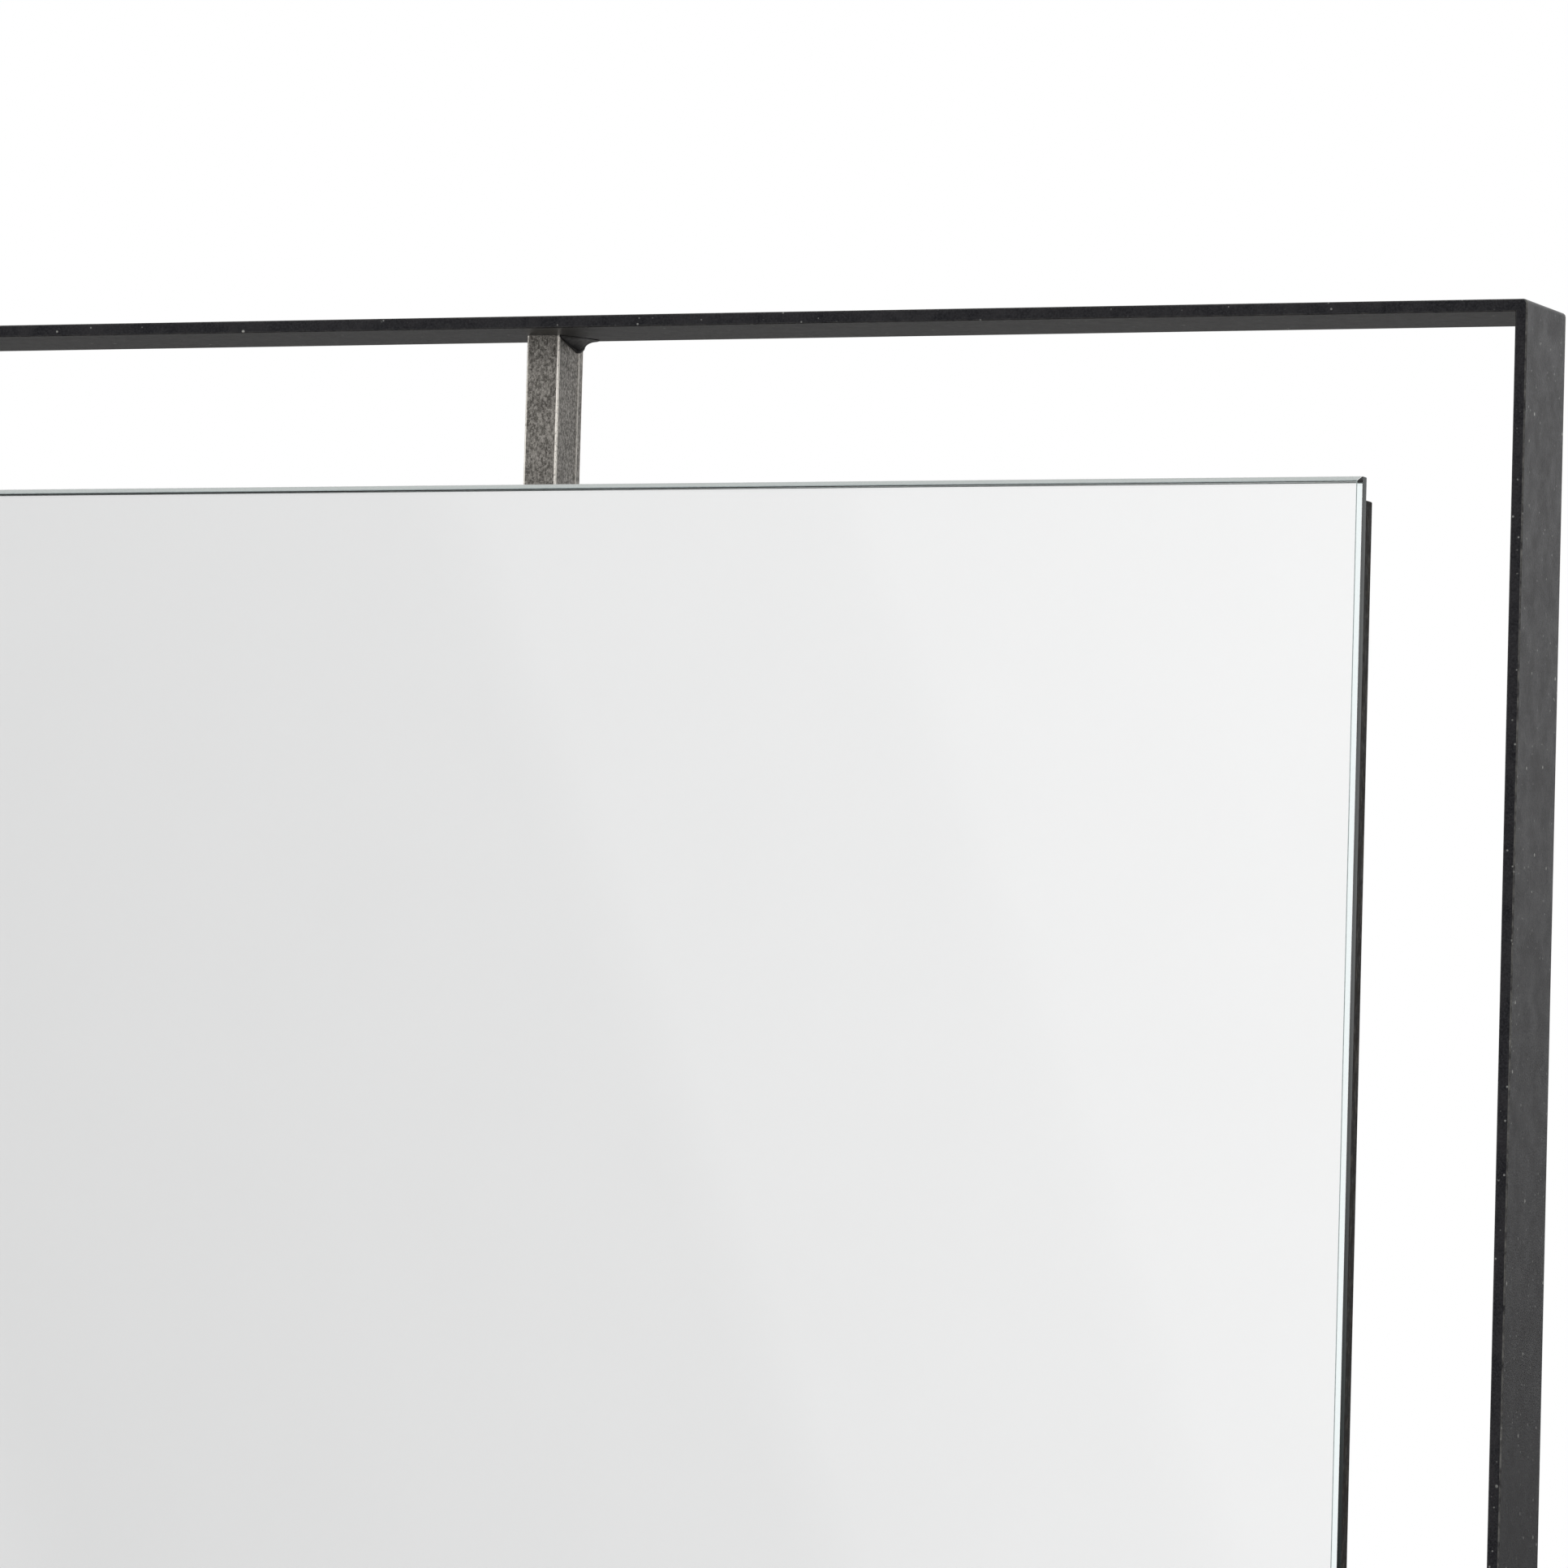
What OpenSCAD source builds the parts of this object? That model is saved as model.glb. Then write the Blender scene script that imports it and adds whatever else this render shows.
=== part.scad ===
// Wall mirror that floats inside an open frame of blackened flat bar.
// X runs to the right, Z up, and Y into the wall. The wall's face is the plane y = 0.
// The origin is the middle of the wall rail's screw holes.

/* [Outer frame] */
// Overall width of the open frame
frame_w = 680; // [520:5:1000]
// Overall height of the open frame
frame_h = 940; // [560:5:1300]
// Depth of the flat bar, from its front edge to its rear edge
bar_deep = 40; // [28:1:60]
// Thickness of the flat bar
bar_thick = 4; // [3:0.5:8]
// Space left between the flat bar's rear edge and the wall
bar_off_wall = 1.4; // [0.4:0.2:3]

/* [Mirror] */
// Clear space between the flat bar and the glass, on every side
mirror_gap = 50; // [30:1:90]
// Thickness of the glass
glass_thick = 6; // [4:1:10]
// Width of the polished arris along each front edge of the glass
glass_arris = 1.4; // [0.4:0.1:1.8]
// Width of the light seam ground along each rear edge of the glass
glass_seam = 0.5; // [0.3:0.1:1.4]
// Thickness of the silver and its paint on the back of the glass
silver_thick = 0.2; // [0.1:0.1:0.4]
// Thickness of the safety film behind the silver
film_thick = 0.3; // [0.2:0.1:0.6]
// How far the film stops short of the glass's edge
film_inset = 3; // [1:0.5:8]

/* [Struts] */
// Width of a strut, across its front face
strut_wide = 12; // [8:1:24]
// How far a strut's front face stands behind the front of the sub-frame
strut_front_in = 8.2; // [2:0.1:10]
// Height of an outer weld along the strut's side
outer_weld_up = 4.5; // [2:0.5:9]
// Reach of an outer weld along the flat bar
outer_weld_out = 7.5; // [3:0.5:14]
// Leg of the small welds where a strut meets the sub-frame
inner_weld_leg = 3; // [2:0.5:6]

/* [Sub-frame] */
// Width of the sub-frame's tube, as seen from the front
tube_wide = 20; // [16:1:30]
// Depth of the sub-frame's tube
tube_deep = 20; // [18:1:30]
// Wall of the sub-frame's tube
tube_wall = 1.5; // [1:0.5:3]
// How far the sub-frame stops short of the glass's edge
tube_inset = 5.5; // [2:0.5:15]

/* [Bonding] */
// Thickness of the foam tape and of the mastic pads
tape_thick = 1.3; // [0.8:0.1:3]
// Width of the foam tape
tape_wide = 12; // [8:1:14]
// Width of a mastic pad
pad_w = 60; // [20:5:90]
// Height of a mastic pad
pad_h = 25; // [10:5:60]
// Columns of mastic pads
pad_columns = 2; // [1:1:3]
// Rows of mastic pads
pad_rows = 3; // [1:1:5]

/* [Backing board] */
// Thickness of the backing board
board_thick = 6; // [4:1:9]
// Clearance all round the board, inside the sub-frame
board_clear = 1; // [0.5:0.5:3]
// Length of a board tab, along the tube
tab_long = 20; // [12:1:40]
// Reach of a board tab, in from the tube
tab_reach = 15; // [12:1:25]
// Thickness of a board tab
tab_thick = 2; // [1.5:0.5:4]

/* [Hanging rails] */
// Distance from the sub-frame's side to the end of either rail
rail_end_in = 50.5; // [20:0.5:90]
// Thickness of the rail's metal
rail_thick = 4.5; // [3:0.5:5]
// Clearance between the two hooked lips
rail_clear = 0.4; // [0.2:0.1:1]
// Height of a hooked lip above its jog
hook_high = 10.5; // [8:0.5:20]
// Space left under the cleat's lip
hook_bottom_clear = 1; // [0.5:0.5:3]
// Height of the wall rail's flat plate
plate_high = 22; // [16:1:40]
// Distance from the wall rail's end to its outermost screw hole
wall_hole_end_in = 26.8; // [15:0.1:60]
// Number of wall screw holes
wall_hole_count = 3; // [2:1:5]
// Diameter of a wall screw hole
wall_hole_d = 5.5; // [4:0.5:7]

/* [Screws and bumpers] */
// Diameter of the M4 screw's shank
screw_d = 4; // [3:0.5:5]
// Diameter of the screw's head
screw_head_d = 7.6; // [6:0.2:9]
// Height of the screw's head
screw_head_high = 2.2; // [1.6:0.1:2.6]
// Width of the hexagon socket, across its corners
socket_w = 2.9; // [2:0.1:3.5]
// Depth of the hexagon socket
socket_deep = 1.3; // [0.8:0.1:1.6]
// Clearance round a shank in its hole, on the radius
screw_clear = 0.05; // [0.03:0.01:0.3]
// How far a metal screw's point stands inside the tube
screw_past = 4; // [2:0.5:8]
// Diameter of the board screw's shank
board_screw_d = 3.5; // [3:0.5:4]
// Bite of a board screw in the board
board_screw_bite = 5; // [3:0.5:5.5]
// Diameter of a rubber wall bumper
bumper_d = 16; // [14:1:19]
// Distance from a bumper's centre to the sub-frame's outer corner, sideways
bumper_in = 40; // [25:1:90]
// Depth of the recess that hides a bumper's screw head
bumper_recess = 3.4; // [2.8:0.1:4]

/* [Hidden] */

$fn = 64;
cut = 1;                     // how far a cutter passes the face that it cuts
weld_steps = 10;             // straight steps in a weld's hollow face
weld_toe = 0.35;             // thickness of a weld at its thin edges
hex_sides = 6;
cleat_screw_spots = [-0.42, -0.17, 0.17, 0.42];   // along the cleat, as shares of its length
tab_spot_across = 0.27;      // a tab's place along a level tube, as a share of the opening
tab_spot_up = 0.25;          // the same, along an upright tube
strip_end_gap = 1;           // space between the ends of two tape strips
bumper_recess_room = 1;      // how much wider a bumper's recess is than its screw head

// Heights, from the wall screws up
seat_z = plate_high / 2 + rail_thick + hook_high;       // the cleat hangs on the rail's lip here
tube_top_z = seat_z + tube_wide;
glass_top_z = tube_top_z + tube_inset;
frame_top_z = glass_top_z + mirror_gap + bar_thick;
frame_mid_z = frame_top_z - frame_h / 2;

// Full sizes, all about the middle of the frame
glass_w = frame_w - 2 * (bar_thick + mirror_gap);
glass_h = frame_h - 2 * (bar_thick + mirror_gap);
tube_w = glass_w - 2 * tube_inset;
tube_h = glass_h - 2 * tube_inset;
hole_w = tube_w - 2 * tube_wide;
hole_h = tube_h - 2 * tube_wide;
board_w = hole_w - 2 * board_clear;
board_h = hole_h - 2 * board_clear;

// Depths: each is the rear face of a layer, from the wall forwards
rail_step = rail_thick + rail_clear;                    // from a plate's back to its lip's
cleat_lip_rear = -rail_clear / 2;
cleat_rear = cleat_lip_rear - rail_step;
tube_rear = cleat_rear - rail_thick;
tube_front = tube_rear - tube_deep;
film_rear = tube_front - tape_thick;
silver_rear = film_rear - film_thick;
glass_rear = silver_rear - silver_thick;
tab_rear = tube_front + board_thick + tab_thick;
strut_front = tube_front + strut_front_in;

strut_long = mirror_gap + tube_inset;
rail_long = tube_w - 2 * rail_end_in;
wall_hole_pitch = (rail_long - 2 * wall_hole_end_in) / (wall_hole_count - 1);

// A box from its low corner to its high corner
module block(low, high) {
    translate(low) cube(high - low);
}

// Turns a shape drawn for the top side to the side that it belongs to.
// Sides are counted in quarter turns: 0 top, 1 left, 2 bottom, 3 right.
module at_side(side) {
    translate([0, 0, frame_mid_z]) rotate([0, -90 * side, 0]) children();
}

// Half of the size from top to bottom, or from side to side, as at_side turns it
function half_up(side, w, h) = side % 2 == 0 ? h / 2 : w / 2;
function half_across(side, w, h) = side % 2 == 0 ? w / 2 : h / 2;

// Outline of a mitred bar on the top side of a w by h rectangle, thick inwards
module mitred_outline(side, w, h, thick) {
    up = half_up(side, w, h);
    across = half_across(side, w, h);
    polygon([
        [-across, up], [across, up],
        [across - thick, up - thick], [-across + thick, up - thick]
    ]);
}

// A mitred bar between two depths
module mitred_bar(side, w, h, thick, y_front, y_rear) {
    translate([0, y_rear, 0]) rotate([90, 0, 0])
        linear_extrude(y_rear - y_front) mitred_outline(side, w, h, thick);
}

module flat_bar(side) {
    color([0.15, 0.15, 0.16]) at_side(side)
        mitred_bar(side, frame_w, frame_h, bar_thick, -bar_off_wall - bar_deep, -bar_off_wall);
}

module strut(side) {
    top = half_up(side, frame_w, frame_h) - bar_thick;
    color([0.44, 0.42, 0.4]) at_side(side)
        block([-strut_wide / 2, strut_front, top - strut_long],
              [strut_wide / 2, -bar_off_wall, top]);
}

// Hollow-faced weld in the corner right of x = 0 and below z = 0, running along Y.
// The hollow is an arc about a point down and to the right.
module weld_bead(out, down, y_front, y_rear) {
    hollow = [for (i = [0 : weld_steps]) let (a = 90 * i / weld_steps)
        [out - (out - weld_toe) * sin(a), -down + (down - weld_toe) * cos(a)]];
    translate([0, y_rear, 0]) rotate([90, 0, 0]) linear_extrude(y_rear - y_front)
        polygon(concat([[0, -down], [0, 0], [out, 0]], hollow));
}

// One outer weld on the same side of every strut, against the flat bar
module outer_welds() {
    color([0.06, 0.06, 0.065]) for (side = [0 : 3]) at_side(side)
        translate([strut_wide / 2, 0, half_up(side, frame_w, frame_h) - bar_thick])
            weld_bead(outer_weld_out, outer_weld_up, strut_front, -bar_off_wall);
}

// Two inner welds on every strut, where strut and sub-frame overlap in depth
module inner_welds() {
    color([0.3, 0.29, 0.28]) for (side = [0 : 3], way = [0, 1]) at_side(side) mirror([way, 0, 0])
        translate([strut_wide / 2, 0, half_up(side, tube_w, tube_h)]) mirror([0, 0, 1])
            weld_bead(inner_weld_leg, inner_weld_leg, strut_front, tube_rear);
}

module tube(side) {
    color([0.33, 0.31, 0.29]) difference() {
        at_side(side) mitred_bar(side, tube_w, tube_h, tube_wide, tube_front, tube_rear);
        at_side(side) tube_bore(side);
        if (side == 0) cleat_screw_holes();
        if (side == 2) bumper_screw_holes();
    }
}

// The long empty space inside a tube, open at both mitres
module tube_bore(side) {
    up = half_up(side, tube_w, tube_h);
    across = half_across(side, tube_w, tube_h);
    block([-across - cut, tube_front + tube_wall, up - tube_wide + tube_wall],
          [across + cut, tube_rear - tube_wall, up - tube_wall]);
}

// Places of the board tabs on one side, as distances along that side
function tab_places(side) =
    let (far = side % 2 == 0 ? tab_spot_across * hole_w : tab_spot_up * hole_h) [-far, far];

module board_tabs() {
    color([0.33, 0.31, 0.29]) for (side = [0 : 3], along = tab_places(side))
        at_side(side) translate([along, 0, half_up(side, hole_w, hole_h)]) difference() {
            block([-tab_long / 2, tab_rear - tab_thick, -tab_reach], [tab_long / 2, tab_rear, 0]);
            translate([0, tab_rear + cut, -tab_reach / 2])
                shank_hole(board_screw_d, tab_thick + 2 * cut);
        }
}

module backing_board() {
    color([0.62, 0.5, 0.36]) difference() {
        translate([0, 0, frame_mid_z])
            block([-board_w / 2, tube_front, -board_h / 2],
                  [board_w / 2, tube_front + board_thick, board_h / 2]);
        at_board_screws() translate([0, cut, 0])
            shank_hole(board_screw_d, tab_thick + board_screw_bite + cut);
    }
}

// Every board screw's place: on the tab's rear face, with the point to -Y
module at_board_screws() {
    for (side = [0 : 3], along = tab_places(side)) at_side(side)
        translate([along, tab_rear, half_up(side, hole_w, hole_h) - tab_reach / 2]) children();
}

module board_screws() {
    color([0.7, 0.7, 0.68]) at_board_screws()
        screw(board_screw_d, tab_thick + board_screw_bite);
}

// A hole for a shank, from y = 0 towards -Y
module shank_hole(shank_d, long) {
    rotate([90, 0, 0]) cylinder(d = shank_d + 2 * screw_clear, h = long);
}

// A button-head screw: the head's seat is at y = 0 and the point is towards -Y
module screw(shank_d, long) {
    difference() {
        union() {
            rotate([90, 0, 0]) cylinder(d = shank_d, h = long);
            rotate([-90, 0, 0]) cylinder(d = screw_head_d, h = screw_head_high);
        }
        translate([0, screw_head_high - socket_deep, 0]) rotate([-90, 0, 0])
            cylinder(d = socket_w, h = socket_deep + cut, $fn = hex_sides);
    }
}

// Four strips of foam tape, one on the middle of each tube
module edge_tape() {
    inset = (tube_wide - tape_wide) / 2;
    color([0.2, 0.2, 0.2]) for (side = [0 : 3]) at_side(side) {
        up = half_up(side, tube_w, tube_h) - inset;
        across = half_across(side, tube_w, tube_h) - inset;
        reach = side % 2 == 0 ? across : across - tape_wide - strip_end_gap;
        block([-reach, film_rear, up - tape_wide], [reach, tube_front, up]);
    }
}

module mastic_pads() {
    color([0.85, 0.84, 0.8]) for (column = [1 : pad_columns], row = [1 : pad_rows])
        translate([
            board_w * (column / (pad_columns + 1) - 0.5), 0,
            frame_mid_z + board_h * (row / (pad_rows + 1) - 0.5)
        ]) block([-pad_w / 2, film_rear, -pad_h / 2], [pad_w / 2, tube_front, pad_h / 2]);
}

// A thin sheet behind the glass, stopping short of the glass's edge
module sheet(short, y_front, y_rear) {
    translate([0, 0, frame_mid_z])
        block([-glass_w / 2 + short, y_front, -glass_h / 2 + short],
              [glass_w / 2 - short, y_rear, glass_h / 2 - short]);
}

module safety_film() {
    color([0.75, 0.77, 0.78]) sheet(film_inset, silver_rear, film_rear);
}

module silver_layer() {
    color([0.9, 0.91, 0.92]) sheet(glass_seam, glass_rear, silver_rear);
}

// The glass's cross section, long sides of half size reach
module glass_outline(reach) {
    front = glass_rear - glass_thick;
    polygon([
        [-reach + glass_arris, front], [reach - glass_arris, front],
        [reach, front + glass_arris], [reach, glass_rear - glass_seam],
        [reach - glass_seam, glass_rear], [-reach + glass_seam, glass_rear],
        [-reach, glass_rear - glass_seam], [-reach, front + glass_arris]
    ]);
}

module mirror_glass() {
    color([0.8, 0.88, 0.87]) translate([0, 0, frame_mid_z]) intersection() {
        translate([0, 0, -glass_h / 2]) linear_extrude(glass_h) glass_outline(glass_w / 2);
        rotate([0, 90, 0]) translate([0, 0, -glass_w / 2])
            linear_extrude(glass_w) glass_outline(glass_h / 2);
    }
}

// The hooked section that both rails share, drawn for the wall rail, with the plate's back
// at y = 0. Each rail is one extrusion, drawn as two solids that meet at the end of its jog,
// so that neither solid bends around the hook.
module plate_outline(plate_low, plate_up) {
    polygon([
        [0, plate_low], [0, plate_up + rail_thick],
        [-rail_step, plate_up + rail_thick], [-rail_step, plate_up],
        [-rail_thick, plate_up], [-rail_thick, plate_low]
    ]);
}

module lip_outline(plate_up, lip) {
    translate([-rail_step - rail_thick, plate_up]) square([rail_thick, rail_thick + lip]);
}

// Draws an outline that lies in the Y and Z directions out along X
module along_rail() {
    translate([-rail_long / 2, 0, 0]) rotate([90, 0, 90]) linear_extrude(rail_long) children();
}

module wall_rail() {
    color([0.72, 0.73, 0.74]) difference() {
        along_rail() plate_outline(-plate_high / 2, plate_high / 2);
        for (i = [0 : wall_hole_count - 1])
            translate([(i - (wall_hole_count - 1) / 2) * wall_hole_pitch, cut, 0])
                rotate([90, 0, 0]) cylinder(d = wall_hole_d, h = rail_thick + 2 * cut);
    }
}

module wall_rail_lip() {
    color([0.72, 0.73, 0.74]) along_rail() lip_outline(plate_high / 2, hook_high);
}

// The same section turned over: its plate is in front and its lip hangs behind the rail's
module at_cleat() {
    translate([0, tube_rear, tube_top_z]) rotate([180, 0, 0]) children();
}

module frame_cleat() {
    color([0.72, 0.73, 0.74]) difference() {
        at_cleat() along_rail() plate_outline(0, tube_wide - rail_thick);
        cleat_screw_holes();
    }
}

module frame_cleat_lip() {
    color([0.72, 0.73, 0.74])
        at_cleat() along_rail() lip_outline(tube_wide - rail_thick, hook_high - hook_bottom_clear);
}

module at_cleat_screws() {
    for (spot = cleat_screw_spots)
        translate([spot * rail_long, cleat_rear, tube_top_z - (tube_wide - rail_thick) / 2])
            children();
}

module cleat_screw_holes() {
    at_cleat_screws() translate([0, cut, 0])
        shank_hole(screw_d, cut + rail_thick + tube_wall + cut);
}

module cleat_screws() {
    color([0.7, 0.7, 0.68]) at_cleat_screws()
        screw(screw_d, rail_thick + tube_wall + screw_past);
}

// Bumpers stand on the bottom tube and fill the space to the wall
module at_bumpers() {
    for (way = [-1, 1])
        translate([way * (tube_w / 2 - bumper_in), 0, frame_mid_z - (tube_h - tube_wide) / 2])
            children();
}

module wall_bumpers() {
    color([0.1, 0.1, 0.1]) at_bumpers() difference() {
        rotate([90, 0, 0]) cylinder(d = bumper_d, h = -tube_rear);
        translate([0, cut, 0]) rotate([90, 0, 0])
            cylinder(d = screw_head_d + bumper_recess_room, h = cut + bumper_recess);
        shank_hole(screw_d, -tube_rear + cut);
    }
}

module bumper_screw_holes() {
    at_bumpers() shank_hole(screw_d, -tube_rear + tube_wall + cut);
}

module bumper_screws() {
    color([0.7, 0.7, 0.68]) at_bumpers() translate([0, -bumper_recess, 0])
        screw(screw_d, -tube_rear - bumper_recess + tube_wall + screw_past);
}

flat_bar(0);  // frame_top_bar
flat_bar(2);  // frame_bottom_bar
flat_bar(1);  // frame_left_bar
flat_bar(3);  // frame_right_bar
strut(0);  // top_strut
strut(2);  // bottom_strut
strut(1);  // left_strut
strut(3);  // right_strut
outer_welds();
inner_welds();
tube(0);  // tube_top
tube(2);  // tube_bottom
tube(1);  // tube_left
tube(3);  // tube_right
board_tabs();
backing_board();
board_screws();
edge_tape();
mastic_pads();
safety_film();
silver_layer();
mirror_glass();
frame_cleat();
frame_cleat_lip();
cleat_screws();
wall_bumpers();
bumper_screws();
wall_rail();
wall_rail_lip();
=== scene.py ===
"""Looks of an open-frame floating wall mirror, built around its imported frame. Metres throughout."""
import math

import bmesh
import bpy
from mathutils import Matrix, Vector


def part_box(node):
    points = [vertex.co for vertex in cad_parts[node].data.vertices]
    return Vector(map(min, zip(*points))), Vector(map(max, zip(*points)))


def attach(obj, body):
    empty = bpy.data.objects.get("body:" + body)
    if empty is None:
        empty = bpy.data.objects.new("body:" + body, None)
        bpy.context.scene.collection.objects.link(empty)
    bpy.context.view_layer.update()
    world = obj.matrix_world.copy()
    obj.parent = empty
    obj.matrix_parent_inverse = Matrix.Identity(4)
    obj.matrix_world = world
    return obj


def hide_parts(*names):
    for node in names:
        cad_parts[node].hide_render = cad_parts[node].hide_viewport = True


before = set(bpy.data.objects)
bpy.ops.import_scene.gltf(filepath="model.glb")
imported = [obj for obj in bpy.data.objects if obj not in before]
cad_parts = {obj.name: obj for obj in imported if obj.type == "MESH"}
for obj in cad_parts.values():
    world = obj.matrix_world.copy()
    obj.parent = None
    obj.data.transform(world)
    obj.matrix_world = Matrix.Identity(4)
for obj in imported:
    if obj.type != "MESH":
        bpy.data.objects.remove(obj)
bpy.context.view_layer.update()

MM = 0.001
ASSEMBLY = "mirror_assembly"
RAIL = "wall_rail"
SIDES = ("top", "left", "bottom", "right")      # quarter turns about the frame's middle


# ---------------------------------------------------------------- finishes

def srgb(code):
    """A hex sRGB colour as a linear colour."""
    parts = [int(code[i:i + 2], 16) / 255 for i in (0, 2, 4)]
    return tuple(c / 12.92 if c <= 0.04045 else ((c + 0.055) / 1.055) ** 2.4 for c in parts) + (1.0,)


def add(tree, kind, values=None, links=None, **settings):
    """A node with its settings, its socket values and its links."""
    node = tree.nodes.new(kind)
    for name, value in settings.items():
        setattr(node, name, value)
    for socket, value in (values or {}).items():
        node.inputs[socket].default_value = value
    for socket, source in (links or {}).items():
        tree.links.new(source, node.inputs[socket])
    return node


def new_finish(name, **values):
    """A material with one Principled shader. Returns the material, its tree and the shader."""
    mat = bpy.data.materials.new(name)
    mat.use_nodes = True
    tree = mat.node_tree
    tree.nodes.clear()
    shader = add(tree, "ShaderNodeBsdfPrincipled", values)
    add(tree, "ShaderNodeOutputMaterial", links={"Surface": shader.outputs[0]})
    return mat, tree, shader


def stretched(tree, along, stretch):
    """Object coordinates drawn out along one axis, for brushed and rolled grain."""
    place = add(tree, "ShaderNodeTexCoord").outputs["Object"]
    scale = [1.0, 1.0, 1.0]
    if along:
        scale["XYZ".index(along)] = 1 / stretch
    return add(tree, "ShaderNodeMapping", {"Scale": scale}, {"Vector": place}).outputs[0]


def grain(tree, place, size_mm, detail=3.0, rough=0.55):
    """Noise whose blotches are about size_mm across, from 0 to 1."""
    values = {"Scale": 1 / (size_mm * MM), "Detail": detail, "Roughness": rough}
    return add(tree, "ShaderNodeTexNoise", values, {"Vector": place}).outputs[0]


def spread(tree, source, low, high, to_low=0.0, to_high=1.0):
    """Takes the range from low to high to another range, and clamps it."""
    return add(tree, "ShaderNodeMapRange", {1: low, 2: high, 3: to_low, 4: to_high}, {0: source}).outputs[0]


def blended(tree, factor, first, second):
    """A mix of two colours, each a hex code or another node's colour."""
    node = add(tree, "ShaderNodeMix", data_type="RGBA")
    tree.links.new(factor, node.inputs["Factor"])
    for socket, colour in ((node.inputs[6], first), (node.inputs[7], second)):
        if isinstance(colour, str):
            socket.default_value = srgb(colour)
        else:
            tree.links.new(colour, socket)
    return node.outputs[2]


def times(tree, first, second):
    """The product of two values."""
    return add(tree, "ShaderNodeMath", links={0: first, 1: second}, operation="MULTIPLY").outputs[0]


def dented(tree, shader, height, depth_mm, strength=1.0):
    """Bumps the surface by a height from 0 to 1, over a depth in millimetres."""
    bump = add(tree, "ShaderNodeBump", {"Strength": strength, "Distance": depth_mm * MM}, {"Height": height})
    tree.links.new(bump.outputs[0], shader.inputs["Normal"])


def rubbed_edge_and_highlight(tree, place, size_mm, least, most):
    """Where rounded edges are lighter, as rubbed metal and as a painted highlight: the edge attribute, broken
    up by noise.
    """
    edge = add(tree, "ShaderNodeAttribute", attribute_name="edge_wear_and_highlight").outputs["Fac"]
    return times(tree, edge, spread(tree, grain(tree, place, size_mm, 4.0, 0.65), least, most))


def flecks(tree, place, apart_mm, radius_mm):
    """Small round flecks, one to a cell, thinned out by noise so that most cells are bare."""
    cells = add(tree, "ShaderNodeTexVoronoi", {"Scale": 1 / (apart_mm * MM)}, {"Vector": place})
    dot = spread(tree, cells.outputs["Distance"], radius_mm / apart_mm, 1.6 * radius_mm / apart_mm, 1.0, 0.0)
    return times(tree, dot, spread(tree, grain(tree, place, 1.7 * apart_mm), 0.48, 0.54))


def blackened_steel():
    """Hot-rolled flat bar, blackened and waxed: near black, softly mottled, rubbed at its edges, with a
    painted highlight along them.
    """
    mat, tree, shader = new_finish("blackened_waxed_steel", Metallic=1.0)
    place = stretched(tree, None, 1)
    fine = grain(tree, place, 0.7, 4.0, 0.8)
    mottle = spread(tree, grain(tree, place, 9, 6.0, 0.7), 0.38, 0.62)
    colour = blended(tree, mottle, "1f1f22", "302f31")
    colour = blended(tree, spread(tree, fine, 0.42, 0.66, 0.0, 0.75), colour, "3b3b3d")
    colour = blended(tree, flecks(tree, place, 7, 0.42), colour, "9c9c98")
    colour = blended(tree, flecks(tree, place, 3.1, 0.26), colour, "7c7c7a")
    # Pale grey along the rounded edges: rubbed metal, and a painted highlight on the lit arrises.
    colour = blended(tree, rubbed_edge_and_highlight(tree, place, 3.0, 0.3, 0.85), colour, "7b7a76")
    tree.links.new(colour, shader.inputs["Base Color"])
    tree.links.new(spread(tree, mottle, 0, 1, 0.34, 0.44), shader.inputs["Roughness"])
    dented(tree, shader, fine, 0.09, 1.0)
    return mat


def raw_steel(along):
    """Mild-steel bar brushed by hand and waxed.
    It is grey, granular and streaked along its length, with corners rubbed bright and a near-white painted
    highlight along corners and ridges."""
    mat, tree, shader = new_finish("hand_brushed_steel_along_" + along.lower(), Metallic=1.0)
    even = stretched(tree, None, 1)
    streak = spread(tree, grain(tree, stretched(tree, along, 9), 0.8, 3.0, 0.7), 0.36, 0.64)
    pit = spread(tree, grain(tree, stretched(tree, along, 1.5), 0.7, 2.0, 0.8), 0.38, 0.62)
    shade = spread(tree, grain(tree, even, 13, 3.0), 0.35, 0.65)
    colour = blended(tree, streak, "524f4b", "73706b")
    colour = blended(tree, spread(tree, pit, 0, 1, 0.0, 0.85), colour, "a5a19b")
    colour = blended(tree, times(tree, shade, spread(tree, pit, 0, 1, 0.4, 0.1)), colour, "4a4743")
    # Near white along corners and ridges: rubbed metal, and a painted highlight.
    colour = blended(tree, rubbed_edge_and_highlight(tree, even, 0.8, 0.22, 0.46), colour, "fffaf2")
    tree.links.new(colour, shader.inputs["Base Color"])
    tree.links.new(spread(tree, pit, 0, 1, 0.5, 0.38), shader.inputs["Roughness"])
    dented(tree, shader, pit, 0.08, 0.8)
    return mat


def weld_metal():
    """Weld bead dressed smooth, then blackened with the bar: black, with a faint sheen and low ripples."""
    mat, tree, shader = new_finish("blackened_weld_bead", Metallic=1.0)
    place = stretched(tree, None, 1)
    colour = blended(tree, spread(tree, grain(tree, place, 2.5), 0.35, 0.7), "161617", "252424")
    tree.links.new(colour, shader.inputs["Base Color"])
    tree.links.new(spread(tree, grain(tree, place, 1.2), 0.3, 0.7, 0.32, 0.5), shader.inputs["Roughness"])
    dented(tree, shader, grain(tree, place, 1.6, 3.0), 0.12, 0.6)
    return mat


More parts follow.
